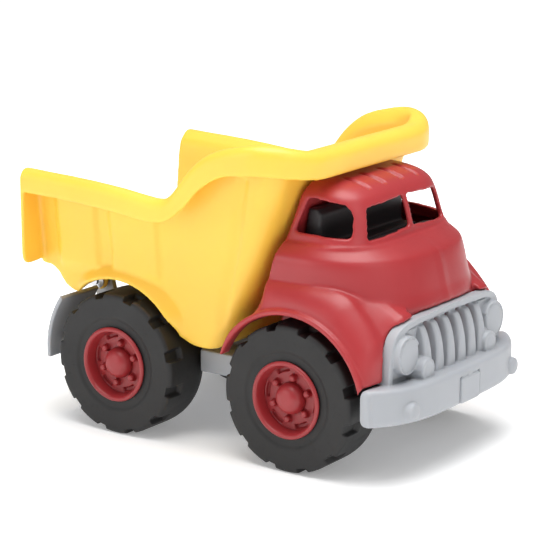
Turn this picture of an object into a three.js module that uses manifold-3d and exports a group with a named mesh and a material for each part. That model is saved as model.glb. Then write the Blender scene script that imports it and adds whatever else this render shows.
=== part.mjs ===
// Toy dump truck. Millimetres, +X forward, +Y left, +Z up, ground at Z = 0.
import * as THREE from 'three';
import { mergeVertices } from 'three/addons/utils/BufferGeometryUtils.js';
import Module from 'manifold-3d';

const wasm = await Module();
wasm.setup();

// ---------- driving dimensions ----------
const CENTRE_X = 5; // middle of the footprint, measured from the middle of the wheelbase
const AXLE_X = 60; // each axle from the middle of the wheelbase
const AXLE_Z = 41.4;
const TYRE_R = 41.4;
const TYRE_IN = 39; // inner face of a tyre, from the centreline
const TYRE_OUT = 75.4;
const TYRE_BORE = 20.2;
const TYRE_SEG = 36;
const NOTCHES = 12;
const RIM_SEG = 20;
const RIM_R = 19.9;
const LIP_R = 21.9;
const WEB_OUT = 69.4;
const LUG_CIRCLE = 12;
const LUGS = 6;
const AXLE_R = 2;
const GAP = 0.3;
const RIM_Y = 83; // outer face of the bed's rolled rim
const WALL = 2.6;
const ARCH_R = 47; // front wheel opening
const BED_ARCH = [-63, 43.4]; // middle of the bed's wheel opening
const BED_ARCH_R = 46;
const ARCH_ANGLES = [134, 125, 116, 107, 98, 88, 78, 68, 58, 49, 40, 31, 23];
const HINGE = [-106, 76];
const BUMPER_X = 132;
const BUMPER_Y = 75.6;

const MATERIALS = {
  bed: { color: 0xf6c93a, roughness: 0.45, metalness: 0 },
  cab: { color: 0xb8323a, roughness: 0.45, metalness: 0 },
  rim: { color: 0xa52a30, roughness: 0.45, metalness: 0 },
  grey: { color: 0xb4b8bd, roughness: 0.5, metalness: 0 },
  tyre: { color: 0x2e2e30, roughness: 0.75, metalness: 0 },
  liner: { color: 0x262628, roughness: 0.6, metalness: 0 },
  steel: { color: 0xb9bcc0, roughness: 0.3, metalness: 1 },
};

// ---------- small helpers ----------
const V2 = (x, y) => new THREE.Vector2(x, y);
const lerp = (a, b, t) => a + (b - a) * t;
const rad = (deg) => (deg * Math.PI) / 180;
const polar = (cx, cz, r, deg) => [cx + r * Math.cos(rad(deg)), cz + r * Math.sin(rad(deg))];

function arc(cx, cy, r, a0, a1, n) {
  const pts = [];
  for (let i = 0; i <= n; i++) pts.push(polar(cx, cy, r, lerp(a0, a1, i / n)));
  return pts;
}

// value at x of the straight-line curve through [x, y] pairs
function along(table, x) {
  let i = 0;
  while (i < table.length - 2 && x > table[i + 1][0]) i++;
  const [x0, y0] = table[i];
  const [x1, y1] = table[i + 1];
  const t = Math.min(1, Math.max(0, (x - x0) / (x1 - x0)));
  return lerp(y0, y1, t);
}

function area(pts) {
  return pts.reduce((s, p, i) => {
    const q = pts[(i + 1) % pts.length];
    return s + p[0] * q[1] - q[0] * p[1];
  }, 0);
}

// closed solid through matching rings of [x, y, z] points, flat ends
function loft(rings, flat) {
  const n = rings[0].length;
  const pos = rings.flat(2);
  const idx = [];
  for (let k = 0; k + 1 < rings.length; k++) {
    for (let i = 0; i < n; i++) {
      const a = k * n + i;
      const b = k * n + ((i + 1) % n);
      idx.push(a, b, b + n, a, b + n, a + n);
    }
  }
  const tri = THREE.ShapeUtils.triangulateShape(flat(rings[0]).map((p) => V2(...p)), []);
  const last = (rings.length - 1) * n;
  const wound = area(flat(rings[0])) < 0 ? tri.map(([a, b, c]) => [a, c, b]) : tri;
  wound.forEach(([a, b, c]) => {
    idx.push(a, c, b);
    idx.push(a + last, b + last, c + last);
  });
  const g = new THREE.BufferGeometry();
  g.setAttribute('position', new THREE.Float32BufferAttribute(pos, 3));
  g.setIndex(idx);
  return outward(g);
}

function volume(g) {
  const p = g.attributes.position;
  const ix = g.index.array;
  let v = 0;
  for (let i = 0; i < ix.length; i += 3) {
    const [a, b, c] = [0, 1, 2].map((k) => new THREE.Vector3().fromBufferAttribute(p, ix[i + k]));
    v += a.dot(b.cross(c));
  }
  return v / 6;
}

function outward(g) {
  if (volume(g) < 0) {
    const ix = g.index.array;
    for (let i = 0; i < ix.length; i += 3) [ix[i + 1], ix[i + 2]] = [ix[i + 2], ix[i + 1]];
  }
  return g;
}

const ccw = (pts) => (area(pts) < 0 ? pts.slice().reverse() : pts);
const prismY = (xz, y0, y1) => {
  const o = ccw(xz);
  return loft([y0, y1].map((y) => o.map(([x, z]) => [x, y, z])), (r) => r.map((p) => [p[0], p[2]]));
};
const prismX = (yz, x0, x1) => {
  const o = ccw(yz);
  return loft([x0, x1].map((x) => o.map(([y, z]) => [x, y, z])), (r) => r.map((p) => [p[1], p[2]]));
};
const prismZ = (xy, z0, z1) => {
  const o = ccw(xy);
  return loft([z0, z1].map((z) => o.map(([x, y]) => [x, y, z])), (r) => r.map((p) => [p[0], p[1]]));
};
const box = (x0, x1, y0, y1, z0, z1) => prismZ([[x0, y0], [x1, y0], [x1, y1], [x0, y1]], z0, z1);
const circle = (cx, cy, r, n, turn = 0) => {
  const pts = [];
  for (let i = 0; i < n; i++) pts.push(polar(cx, cy, r, turn + (360 * i) / n));
  return pts;
};
const cylY = (x, z, r, y0, y1, n = 16, turn = 0) => prismY(circle(x, z, r, n, turn), y0, y1);
const cylX = (y, z, r, x0, x1, n = 16) => prismX(circle(y, z, r, n), x0, x1);
const cylZ = (x, y, r, z0, z1, n = 12) => prismZ(circle(x, y, r, n), z0, z1);

// solid of revolution about the Y direction through (x, z); profile is a closed loop of [r, y]
function turnY(profile, x, z, seg, turn = 0) {
  const ring = (k) => {
    const a = rad(turn + (360 * k) / seg);
    return profile.map(([r, y]) => [x + r * Math.cos(a), y, z + r * Math.sin(a)]);
  };
  const pos = [];
  for (let k = 0; k < seg; k++) pos.push(...ring(k).flat());
  const n = profile.length;
  const idx = [];
  for (let k = 0; k < seg; k++) {
    for (let i = 0; i < n; i++) {
      const a = k * n + i;
      const b = k * n + ((i + 1) % n);
      const c = ((k + 1) % seg) * n + i;
      const d = ((k + 1) % seg) * n + ((i + 1) % n);
      idx.push(a, b, d, a, d, c);
    }
  }
  const g = new THREE.BufferGeometry();
  g.setAttribute('position', new THREE.Float32BufferAttribute(pos, 3));
  g.setIndex(idx);
  return outward(g);
}

// solid of revolution whose profile of [r, y] starts and ends on the axis
function domeY(profile, x, z, seg) {
  const inner = profile.slice(1, -1);
  const pos = [x, profile[0][1], z, x, profile[profile.length - 1][1], z];
  const n = inner.length;
  for (let k = 0; k < seg; k++) {
    const a = rad((360 * k) / seg);
    inner.forEach(([r, y]) => pos.push(x + r * Math.cos(a), y, z + r * Math.sin(a)));
  }
  const at = (k, i) => 2 + (k % seg) * n + i;
  const idx = [];
  for (let k = 0; k < seg; k++) {
    idx.push(0, at(k, 0), at(k + 1, 0));
    idx.push(1, at(k + 1, n - 1), at(k, n - 1));
    for (let i = 0; i + 1 < n; i++) {
      idx.push(at(k, i), at(k, i + 1), at(k + 1, i + 1), at(k, i), at(k + 1, i + 1), at(k + 1, i));
    }
  }
  const g = new THREE.BufferGeometry();
  g.setAttribute('position', new THREE.Float32BufferAttribute(pos, 3));
  g.setIndex(idx);
  return outward(g);
}

function mirror(g) {
  const m = g.clone();
  m.scale(1, -1, 1);
  return outward(m);
}
const both = (s) => [geometry(s), mirror(geometry(s))];

function solid(g) {
  const c = g.clone();
  c.deleteAttribute('normal');
  c.deleteAttribute('uv');
  const m = mergeVertices(c, 1e-4);
  return new wasm.Manifold(new wasm.Mesh({
    numProp: 3,
    vertProperties: new Float32Array(m.attributes.position.array),
    triVerts: new Uint32Array(m.index.array),
  }));
}
const asSolid = (g) => (g.isBufferGeometry ? solid(g) : g);
const add = (...gs) => gs.flat().map(asSolid).reduce((a, b) => a.add(b));
const cut = (base, ...gs) => gs.flat().map(asSolid).reduce((a, b) => a.subtract(b), asSolid(base));
const keep = (a, b) => asSolid(a).intersect(asSolid(b));

function geometry(s) {
  if (s.isBufferGeometry) return s;
  const m = s.getMesh();
  const g = new THREE.BufferGeometry();
  g.setAttribute('position', new THREE.Float32BufferAttribute(m.vertProperties, 3));
  g.setIndex(Array.from(m.triVerts));
  return g;
}

const truck = new THREE.Group();
truck.name = 'toy_dump_truck';
function piece(name, s, material) {
  const g = geometry(s).clone();
  g.translate(-CENTRE_X, 0, 0);
  g.computeVertexNormals();
  const mesh = new THREE.Mesh(g, new THREE.MeshStandardMaterial(MATERIALS[material]));
  mesh.name = name;
  truck.add(mesh);
}

// ---------- wheels ----------
function tyre(x, side) {
  const r = TYRE_R / Math.cos(Math.PI / TYRE_SEG);
  const profile = [
    [TYRE_BORE, TYRE_IN + 0.8], [35, TYRE_IN], [39.8, TYRE_IN + 3.4], [r, TYRE_IN + 9],
    [r, TYRE_OUT - 7], [40.8, TYRE_OUT - 2], [38.6, TYRE_OUT],
    [TYRE_BORE, TYRE_OUT - 1.4], [TYRE_BORE, TYRE_OUT - 4.5], [34, TYRE_OUT - 6],
    [34, TYRE_IN + 6], [TYRE_BORE, TYRE_IN + 4.5],
  ].map(([q, y]) => [q, side * y]);
  const body = turnY(profile, x, AXLE_Z, TYRE_SEG, 180 / TYRE_SEG);
  const cuts = [];
  for (let i = 0; i < NOTCHES; i++) {
    const a = (360 / NOTCHES) * i + 360 / NOTCHES / 2;
    cuts.push(notch(x, side, a, TYRE_OUT - 11, TYRE_OUT + 1));
  }
  return cut(body, ...cuts);
}

function notch(x, side, angle, y0, y1) {
  const w = 6.5;
  const a = Math.asin(w / 2 / 38.6) * (180 / Math.PI);
  const b = Math.asin(w / 2 / 44) * (180 / Math.PI);
  const pts = [
    polar(x, AXLE_Z, 38.6, angle - a), polar(x, AXLE_Z, 44, angle - b),
    polar(x, AXLE_Z, 44, angle + b), polar(x, AXLE_Z, 38.6, angle + a),
  ];
  return prismY(pts, Math.min(side * y0, side * y1), Math.max(side * y0, side * y1));
}

function rim(x, side) {
  const y = (v) => side * v;
  const profile = [
    [AXLE_R + GAP, y(39.6)], [5.5, y(39.6)], [6, y(66.2)], [17.4, y(66.2)], [17.8, y(41)], [RIM_R, y(41)],
    [RIM_R, y(TYRE_OUT - 0.6)], [LIP_R, y(TYRE_OUT + 0.2)], [LIP_R - 0.4, y(76.6)], [RIM_R, y(77)],
    [18.9, y(75.8)], [18.1, y(WEB_OUT)], [AXLE_R + GAP, y(WEB_OUT)],
  ];
  let body = asSolid(turnY(profile, x, AXLE_Z, RIM_SEG));
  for (let i = 0; i < LUGS; i++) {
    const [lx, lz] = polar(x, AXLE_Z, LUG_CIRCLE, 60 * i + 22);
    const tip = y(WEB_OUT + 3.5);
    const lug = [[0, y(66.6)], [2, y(66.6)], [2, y(WEB_OUT + 2.6)], [1.1, tip], [0, tip]];
    body = body.add(asSolid(domeY(lug, lx, lz, 6)));
    body = body.subtract(asSolid(rimSlot(x, side, 60 * i + 52)));
  }
  return body;
}

function rimSlot(x, side, angle) {
  const pts = [
    ...arc(x, AXLE_Z, 15.2, angle - 14, angle + 14, 2),
    ...arc(x, AXLE_Z, 17.3, angle + 14, angle - 14, 2),
  ];
  return prismY(pts, Math.min(side * 64, side * 71), Math.max(side * 64, side * 71));
}

function hubCap(x, side) {
  const y = (v) => side * v;
  const base = WEB_OUT + GAP;
  const dome = arc(0, 0, 9, 20, 70, 2).map(([r, h]) => [r, y(base + h * 0.8)]);
  const outer = [[0, y(base)], [9, y(base)], ...dome, [0, y(base + 7.2)]];
  const bore = [[0, -1], [7, -1], [7, 3], [3.6, 5.6], [0, 5.6]].map(([r, h]) => [r, y(base + h)]);
  return cut(domeY(outer, x, AXLE_Z, 16), domeY(bore, x, AXLE_Z, 10));
}

const axleRod = (x) => cylY(x, AXLE_Z, AXLE_R, -73.4, 73.4, 16);

function pushNut(x, z, side, at, bore, r) {
  const y = (v) => side * v;
  return turnY([[bore + GAP, y(at)], [r, y(at)], [r, y(at + 0.6)], [bore + GAP, y(at + 1.4)]], x, z, 12);
}

// ---------- dump bed ----------
const RIM_TOP = [
  [-122, 150], [-111, 149.5], [-81, 148.3], [-52, 146.3], [-31, 143.9], [-25, 143.4], [-20, 143.6],
  [-15, 147],
  [-9.6, 153], [-2.6, 162], [4.3, 168], [11, 172.2], [17.8, 175], [26, 177.2], [34.4, 179], [45, 180],
  [54, 179.6], [62, 178], [68, 174.6],
];
const rimTop = (x) => along(RIM_TOP, x);
// front wall of the bed: height, outer face X
const FRONT = [[50, 1], [60, 8], [76, 18.6], [95, 27.8], [127, 40], [150, 47.6], [172, 54], [200, 62]];
const frontX = (z) => along(FRONT, z);
const CORNER_R = 12;

// underside of the bed behind the wheel opening
const BED_TAIL = [[-115, 90.6], [-110.5, 88], [-107.6, 83.6], [-103, 79], [-98.6, 77]];

function bedOutline() {
  const arch = ARCH_ANGLES.map((a) => polar(...BED_ARCH, BED_ARCH_R, a));
  const top = RIM_TOP.slice().reverse().filter(([x]) => x < 50).map(([x, z]) => [x, z - 3]);
  const low = [[-12, 57.5], [-2.6, 56.6], [4, 57.4]];
  const front = [60, 76, 95, 127, 150, 172].map((z) => [frontX(z), z]);
  return [[-122, 91], ...BED_TAIL, ...arch, ...low, ...front, [frontX(176), 176], ...top];
}

function bedInside() {
  const d = WALL + 0.5;
  const front = [76, 95, 127, 150, 200].map((z) => [frontX(z) - d, z]);
  return [
    [-130, 93], [-58, 93], ...arc(...BED_ARCH, BED_ARCH_R + 3, 80, 24, 5), [frontX(62.8) - d, 62.8], ...front,
    [-130, 200],
  ];
}

// half width of the bed over its side walls, at height z
const bedY = (z) => along([[50, 63.5], [92, 65], [140, 69.4], [175, 71], [200, 71]], z);
function bedSlab(d) {
  const right = [50, 92, 140, 175, 200].map((z) => [bedY(z) + d, z]);
  return prismX([...right, ...right.slice().reverse().map(([y, z]) => [-y, z])], -150, 90);
}

// what is taken off the upright front corners to round them
function cornerCutter(inset) {
  const r = CORNER_R - inset;
  const rings = FRONT.map(([z]) => {
    const y = bedY(z) - inset;
    const x = frontX(z) - inset;
    const curve = arc(x - r, -y + r, r, 270, 360, 4);
    return [[x + 30, -y - 2], [x + 30, -y + r], ...curve.slice().reverse(), [x - r, -y - 2]]
      .map(([a, b]) => [a, b, z]);
  });
  return both(loft(rings, (q) => q.map((p) => [p[0], p[1]])));
}

function bedShell() {
  const outer = cut(keep(prismY(bedOutline(), -80, 80), bedSlab(0)), ...cornerCutter(0));
  const hollow = cut(keep(prismY(bedInside(), -80, 80), bedSlab(-WALL)), ...cornerCutter(WALL + 0.5));
  return { outer, hollow };
}

// lower edge of the rim's skirt
const SKIRT_LOW = [
  [-122, 136.6], [-81, 135], [-52, 133], [-28.5, 130.6], [-20, 131], [-14.4, 133.2], [-4, 141.2], [6.4, 152],
  [16.5, 158.8], [26.6, 162.4], [46.3, 163.6], [58, 162.4], [68, 160.4],
];
// rolled rim section: distance in from the outer plan line, then depth below the crown or height above
// the lower edge of the skirt
const RIM_SECTION = [
  [0, 'low', 0.4], [0, 'drop', 5.4], [1.1, 'drop', 2.5], [4.2, 'drop', 0.3], [6.4, 'drop', 0],
  [16, 'drop', 1.2],
  [17, 'drop', 6], [15, 'drop', 10], [12, 'drop', 7.4], [8, 'drop', 4.8], [5, 'drop', 4.2], [2.6, 'drop', 7],
  [2.6, 'low', 0.4],
];
const RIM_FRONT = 68;
const RIM_CORNER = 36;

// outer plan line of the rim, rear right round to rear left: [x, y, inward x, inward y]
function rimStations() {
  const half = RIM_TOP.filter(([x]) => x < RIM_FRONT - RIM_CORNER).map(([x]) => [x, -RIM_Y, 0, 1]);
  for (let i = 0; i <= 7; i++) {
    const a = rad(270 + (90 * i) / 7);
    const [c, s] = [Math.cos(a), Math.sin(a)];
    half.push([RIM_FRONT - RIM_CORNER + RIM_CORNER * c, -RIM_Y + RIM_CORNER + RIM_CORNER * s, -c, -s]);
  }
  return [...half, ...half.slice().reverse().map(([x, y, u, v]) => [x, -y, u, -v])];
}

function sweptRim() {
  const rings = rimStations().map(([x, y, u, v]) => RIM_SECTION.map(([d, from, h]) => {
    const z = from === 'drop' ? rimTop(x) - h : along(SKIRT_LOW, x) + h;
    return [x + u * d, y + v * d, z];
  }));
  return loft(rings, (r) => r.map((p) => [p[1], p[2]]));
}

function dumpBed() {
  const { outer, hollow } = bedShell();
  const flange = both(rearFlange());
  const bed = add(outer, sweptRim(), ...flange, ...flare(), ...flutes());
  return add(cut(bed, hollow, mouth(), ...underCuts()), ...both(bedLug()));
}

// mouth of the bed: depth below the crown line, half width and front edge there, corner radius
const MOUTH = [
  [-45, 76.4, 61.2, 29.4], [0.6, 76, 60.8, 29], [2.4, 73, 57.8, 26], [4.6, 70.6, 55.4, 22],
  [8, 68.4, 51.6, 15], [13, 67.4, 49.2, 11], [20, 66.6, 47, 10],
];

// the mouth opens outwards towards the crown of the rim and stays clear of the side walls below it
function mouth() {
  const rings = MOUTH.map(([drop, half, front, r]) => {
    const spare = along([[4, 12], [4.6, 2.8], [8, 1.2], [13, 0.3], [20, -0.2]], drop);
    const plan = RIM_TOP.filter(([x]) => x < 30).map(([x]) => [x, -half]);
    plan.unshift([-140, -half]);
    plan.push(...arc(front - r, -half + r, r, 270, 360, 5));
    const line = [...plan, ...plan.slice().reverse().map(([x, y]) => [x, -y])];
    return line.map(([x, y]) => {
      const z = rimTop(x) - drop;
      const limit = bedY(z) - WALL + spare;
      return [x, Math.max(-limit, Math.min(limit, y)), z];
    });
  });
  return loft(rings, (q) => q.map((p) => [p[0], p[1]]));
}

function rearFlange() {
  const pts = [[64, 96], [66, 93.6], [78, 93], [81.4, 94.2], [82.8, 97.6], [RIM_Y, 142], [64, 142]];
  return prismX(pts, -122, -119.4);
}

// hollow below the floor, between the side walls
function underCuts() {
  const pts = [
    [-140, 70], [-140, 90.4], [-60, 90.4], ...arc(...BED_ARCH, BED_ARCH_R + 0.4, 82, 40, 4), [-61, 50],
  ];
  return [keep(prismY(pts, -80, 80), bedSlab(-WALL))];
}

function bedLug() {
  const [hx, hz] = HINGE;
  const eye = arc(hx, hz, 6, 180, 360, 8);
  const plate = prismY([...eye, [hx + 10, 91], [hx - 6, 91]], 29.2, 32.8);
  return cut(plate, cylY(hx, hz, AXLE_R + GAP, 20, 40, 16));
}

// the lower edge of the side swells out round the wheel opening and fades at both ends
function flare() {
  const rings = [62.6, 70.6].map((y, k) => {
    const out = ARCH_ANGLES.map((a) => polar(...BED_ARCH, BED_ARCH_R + (k ? 1.4 : 6), a));
    const inner = ARCH_ANGLES.slice().reverse().map((a) => polar(...BED_ARCH, BED_ARCH_R, a));
    const ends = ([x]) => along([[-99, 0.4], [-86, 1], [-34, 1], [-18, 0.4]], x);
    return [...out, ...inner].map(([x, z]) => [x, lerp(62.6, y, ends([x])), z]);
  });
  return both(loft(rings, (r) => r.map((p) => [p[0], p[2]])));
}

function flutes() {
  const spans = [[-108, -72], [-64, -28]];
  const ribs = spans.map(([a, b]) => {
    const pts = [[a, 94], [b, 94], [b, along(RIM_TOP, b) - 6], [a, along(RIM_TOP, a) - 6]];
    return keep(prismY(pts, -80, 80), bedSlab(1));
  });
  return ribs;
}

// ---------- cab ----------
// body sections at height z: front on the centreline, half width, squareness
const BODY = [
  [51.7, 113.6, 64, 2.7], [80, 116.4, 64, 2.7], [89, 116.6, 64, 2.7], [98, 114.2, 64, 2.65],
  [109, 111.4, 64, 2.6], [114, 110, 63.8, 2.6],
  [117, 108.6, 63.2, 2.6], [119, 106.4, 62.2, 2.6], [121, 102.6, 60.6, 2.7], [123, 98, 58.4, 3],
  [124.6, 94.6, 57, 3.6],
];
const HOUSE = [
  [118, 94, 56.4, 3.9], [124, 93.4, 55.2, 3.9], [129, 92.4, 53, 3.9], [145.4, 87.4, 48.4, 4.1],
  [149, 85.4, 47.2, 4],
  [151.5, 82.4, 45.6, 3.9], [153.6, 78.6, 43, 3.7], [155.4, 73, 39, 3.4], [156.6, 67, 33.6, 3.2],
  [157.3, 60, 26, 3],
];
const XC = 45;

function section(z, front, w, n, inset = 0) {
  const m = 6;
  const pts = [];
  for (let i = -m; i <= m; i++) {
    const t = rad((90 * i) / m);
    const c = Math.pow(Math.abs(Math.cos(t)), 2 / n);
    const s = Math.sign(t) * Math.pow(Math.abs(Math.sin(t)), 2 / n);
    pts.push([XC + (front - inset - XC) * c, (w - inset) * s, z]);
  }
  pts.push([20, w - inset, z], [20, -(w - inset), z]);
  return pts;
}
const levels = (rows, inset, z0, z1) => rows.filter((r) => r[0] >= z0 && r[0] <= z1)
  .map(([z, f, w, n]) => section(z, f, w, n, inset));
const stack = (rings) => loft(rings, (r) => r.map((p) => [p[0], p[1]]));

const CAB_REAR = [[52.6, 160], [50.4, 150], [46, 130], [41, 108], [35.6, 88], [30, 75], [30, 50]];
function behindCab(d) {
  const edge = CAB_REAR.map(([x, z]) => [x + d, z]);
  return prismY([...edge, [-10, 50], [-10, 160]], -90, 90);
}

const FENDER = [
  [14.5, 60], [20, 72], [27, 82], [34.6, 88], [37.4, 97], [39.4, 106.4], [58.5, 105.9], [68, 105.2],
  [75.5, 104],
  [84, 102.2], [90.9, 99.2], [97, 93.6], [102.6, 87.6], [107.1, 82], [110.1, 77], [112, 68], [112.4, 57],
];
const APRON = [
  [14.5, 60], [20, 72], [27, 82], [34.6, 88], [37.4, 97], [39.4, 106.4], [58.5, 106], [68, 105.6], [76, 105],
  [85, 103.6], [93, 101.4], [100, 98.2], [106, 94.6], [111.6, 91.4], [115.6, 88.6], [116.4, 74], [116.4, 57],
];

// share of the way from the apron to the lip of the wheel opening, for each distance off the centreline
function fenderPoint(i, y, s) {
  const [x, z] = y < 50 ? APRON[i] : FENDER[i];
  const a = Math.atan2(z - AXLE_Z, x - AXLE_X);
  const r = Math.hypot(z - AXLE_Z, x - AXLE_X);
  const q = Math.min(r, lerp(ARCH_R + 2.6, r, s));
  return [AXLE_X + q * Math.cos(a), y, AXLE_Z + q * Math.sin(a)];
}

function fenderInner(i, y) {
  const [x, z] = FENDER[i];
  const a = Math.atan2(z - AXLE_Z, x - AXLE_X);
  return [AXLE_X + (ARCH_R - 3) * Math.cos(a), y, AXLE_Z + (ARCH_R - 3) * Math.sin(a)];
}

function fender() {
  const steps = [
    [36, 1], [60.4, 1], [64, 0.87], [67.6, 0.7], [70.6, 0.52], [73, 0.34], [75, 0.16], [76, 0.04],
  ];
  const order = FENDER.map((_, i) => i);
  const rings = steps.map(([y, s]) => [
    ...order.map((i) => fenderPoint(i, y, s)),
    ...order.slice().reverse().map((i) => fenderInner(i, y)),
  ]);
  return loft(rings, (r) => r.map((p) => [p[0], p[2]]));
}

// lip of the wheel opening carried on down behind it
function fenderTail() {
  const angles = [98, 110, 122, 134, 146, 153, 157.4];
  const thick = (a) => along([[98, 3.2], [150, 2.4], [157.4, 1.4]], a);
  const out = angles.map((a) => polar(AXLE_X, AXLE_Z, ARCH_R + thick(a), a));
  return prismY([...out, ...angles.slice().reverse().map((a) => polar(AXLE_X, AXLE_Z, ARCH_R, a))], 67, 75.8);
}

const SIDE_WINDOW = [
  [50, 131.2], [51.6, 129.8], [81, 128.4], [82.2, 130], [80.6, 143], [77.6, 145.4], [57.2, 148.4],
  [55.2, 147.4],
];
const PANE = [
  [1.8, 130.6], [3.2, 129], [37, 126.9], [38.8, 128.6], [35.8, 142], [33.8, 143.6], [3.4, 145.6],
  [1.8, 144],
];

function bulkhead(x) {
  const lower = box(x, x + WALL, -35, 35, 51.7, 95);
  const upper = box(x, x + WALL, -57, 57, 91, 107.6);
  return add(lower, upper, cylZ(x + 1.3, 22, 4, 51.7, 100, 10), cylZ(x + 1.3, -22, 4, 51.7, 100, 10));
}

function roofGroove(y) {
  const half = [[64, 1.6], [77, 2.2], [79.4, 1.4], [80, 0.2]];
  const pts = [...half, ...half.slice().reverse().map(([x, v]) => [x, -v])].map(([x, v]) => [x, y + v]);
  const cutter = prismZ(pts, 150, 160);
  const floor = prismY([[60, 156.2], [70, 154.9], [80.4, 151.9], [84, 165], [60, 165]], -60, 60);
  return keep(cutter, floor);
}

function cabShell() {
  const body = stack(levels(BODY, 0, 0, 200));
  const house = stack(levels(HOUSE, 0, 0, 200));
  let cab = add(body, house, ...both(fender()));
  const hollowBody = stack([...levels(BODY, WALL, 91, 122), section(122.2, 96.5, 57, 3, WALL)]);
  const hollowHouse = stack([section(110, 93.5, 56.4, 3.9, WALL), ...levels(HOUSE, WALL, 120, 150),
    section(151.6, 78, 44, 3.9, WALL)]);
  const lower = box(20, 108.6, -34.4, 34.4, 40, 93);
  const room = cut(add(hollowBody, hollowHouse, lower), behindCab(WALL));
  const well = both(cylY(AXLE_X, AXLE_Z, ARCH_R, 37, 90, 36));
  cab = cut(cab, room, ...well, behindCab(0), grilleSeat());
  cab = cut(cab, bumperClearance());
  cab = cut(cab, ...both(prismY(SIDE_WINDOW, 40, 70)), ...both(prismX(PANE, 80, 105)));
  cab = cut(cab, ...[-24.7, -9, 9, 24.7].map(roofGroove));
  const inside = keep(add(bulkhead(50), bulkhead(82)), add(body, box(20, 110, -36, 36, 51.7, 93)));
  const pilots = SCREWS.map(([x, y]) => cylZ(x, y, 1.5, 40, 62, 10));
  cab = cut(add(cab, inside, ...both(fenderTail())), ...pilots);
  return cut(cab, box(-50, 150, -100, 100, 0, 51.7));
}
const SCREWS = [[51.3, 22], [51.3, -22], [83.3, 22], [83.3, -22]];

function cabLiner() {
  const tray = box(46, 86, -50, 50, 108, 110.4);
  const back = prismY([[47, 110], [60, 110], [60, 138], [57, 141], [51.5, 141], [47, 112]], -42, 42);
  const bench = box(59, 70, -42, 42, 110, 121);
  const dash = prismY([[78, 110], [86, 110], [87, 123.5], [84, 125], [79, 124]], -34, 34);
  const under = box(49.6, 67.6, -39.4, 39.4, 100, 118.4);
  const underBack = box(51.4, 57, -39.4, 39.4, 100, 136);
  const liner = cut(add(tray, back, bench, dash), under, underBack);
  return liner;
}

// ---------- grille and bumper ----------
const faceX = (y, x0, drop, w) => x0 - drop * (y / w) ** 2;

function curvedPlate(yz, front, back, drop, w) {
  const o = ccw(yz);
  const rings = [back, front].map((x0) => o.map(([y, z]) => [faceX(y, x0, drop, w), y, z]));
  return loft(rings, (r) => r.map((p) => [p[1], p[2]]));
}

function grilleOutline(d) {
  const half = [
    [59.6 - d, 50], [59.2 - d, 62], [57.6 - d, 73], [54.4 - d, 80.4 - d * 0.6], [48.6 - d * 0.7, 84.8 - d],
    [41 - d * 0.3, 86.8 - d], [33, 87.5 - d], [18, 88.4 - d], [6, 88.8 - d],
  ];
  return [...half, ...half.slice().reverse().map(([y, z]) => [-y, z])];
}

// cut in the cab front that takes the grille
function grilleSeat() {
  const front = 113.6 - GAP;
  return curvedPlate(grilleOutline(-GAP - 0.1).map(([y, z]) => [y, z < 51 ? 30 : z]), 140, front, 4, 60);
}

function fin(y) {
  const pts = [[115, 54], [122.6, 54], [123, 66], [121.8, 74], [118.6, 82], [115, 83]];
  return prismY(pts, y - 3.3, y + 3.3);
}

function grille() {
  const plate = curvedPlate(grilleOutline(0), 117.4, 113.6, 4, 60);
  const frame = curvedPlate(grilleOutline(0), 119.8, 115, 4, 60);
  const frameHole = curvedPlate(grilleOutline(3.6), 125, 110, 4, 60);
  const slots = [-23.2, -11.6, 0, 11.6, 23.2].map((y) => prismX([
    [y - 2.4, 57], [y + 2.4, 57], [y + 2.4, 80], [y + 1.4, 81.6], [y - 1.4, 81.6], [y - 2.4, 80]], 105, 140));
  const shorts = both(box(105, 140, 33, 36.4, 66.4, 73.6));
  const fins = [-29, -17.4, -5.8, 5.8, 17.4, 29].map(fin);
  return cut(add(plate, cut(frame, frameHole), ...fins), ...slots, ...shorts);
}

const domeX = (y, z, r, x0, x1, bulge, n) => {
  const rings = [[x0, 1], [x1, 1], [x1 + bulge * 0.6, 0.8], [x1 + bulge, 0.4]]
    .map(([x, s]) => circle(y, z, r * s, n).map(([a, b]) => [x, a, b]));
  return loft(rings, (q) => q.map((p) => [p[1], p[2]]));
};

function lamps() {
  const head = add(cut(cylX(45.8, 69.5, 10.6, 113, 119.8, 16), cylX(45.8, 69.5, 8.8, 117.5, 130, 16)),
    domeX(45.8, 69.5, 8.2, 115, 118.4, 2.2, 12));
  const low = domeX(33.5, 59.6, 6.2, 114.6, 125.4, 1.4, 10);
  const bumperLamp = domeX(53.7, 41.4, 4.4, 118, 127.4, 1.6, 8);
  return [...both(geometry(head)), ...both(low), ...both(bumperLamp)];
}

const BUMPER_FRONT = [
  [0, 131.8], [30, 131.2], [44, 129.4], [56, 125.6], [65, 120.8], [71, 116.2], [74, 112.6],
];

function bumperRing(y, d = 0) {
  const front = along(BUMPER_FRONT, Math.abs(y)) + d;
  const back = Math.max(front - 15, Math.min(front - 5, 107)) - 2 * d;
  const [lo, hi] = [34.4 - d, 55 + d];
  return [
    [back, lo + 2], [back + 1.4, lo], [front - 2.6, lo], [front - 0.9, lo + 1.2], [front, lo + 3.6],
    [front, hi - 4], [front - 1.2, hi - 1.2], [front - 3.4, hi], [back + 1.4, hi], [back, hi - 2],
  ].map(([x, z]) => [x, y, z]);
}

function bumper() {
  const ys = [-74, -71, -65, -56, -44, -30, 0, 30, 44, 56, 65, 71, 74];
  const end = (sgn) => bumperRing(74)
    .map(([x, , z]) => [lerp(109.6, x, 0.7), sgn * BUMPER_Y, lerp(44.7, z, 0.82)]);
  return loft([end(-1), ...ys.map((y) => bumperRing(y)), end(1)], (r) => r.map((p) => [p[0], p[2]]));
}

function bumperClearance() {
  const rings = [-90, -74, -65, -56, -30, 0, 30, 56, 65, 74, 90].map((y) => bumperRing(y, GAP + 0.1));
  return loft(rings, (r) => r.map((p) => [p[0], p[2]]));
}

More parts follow.
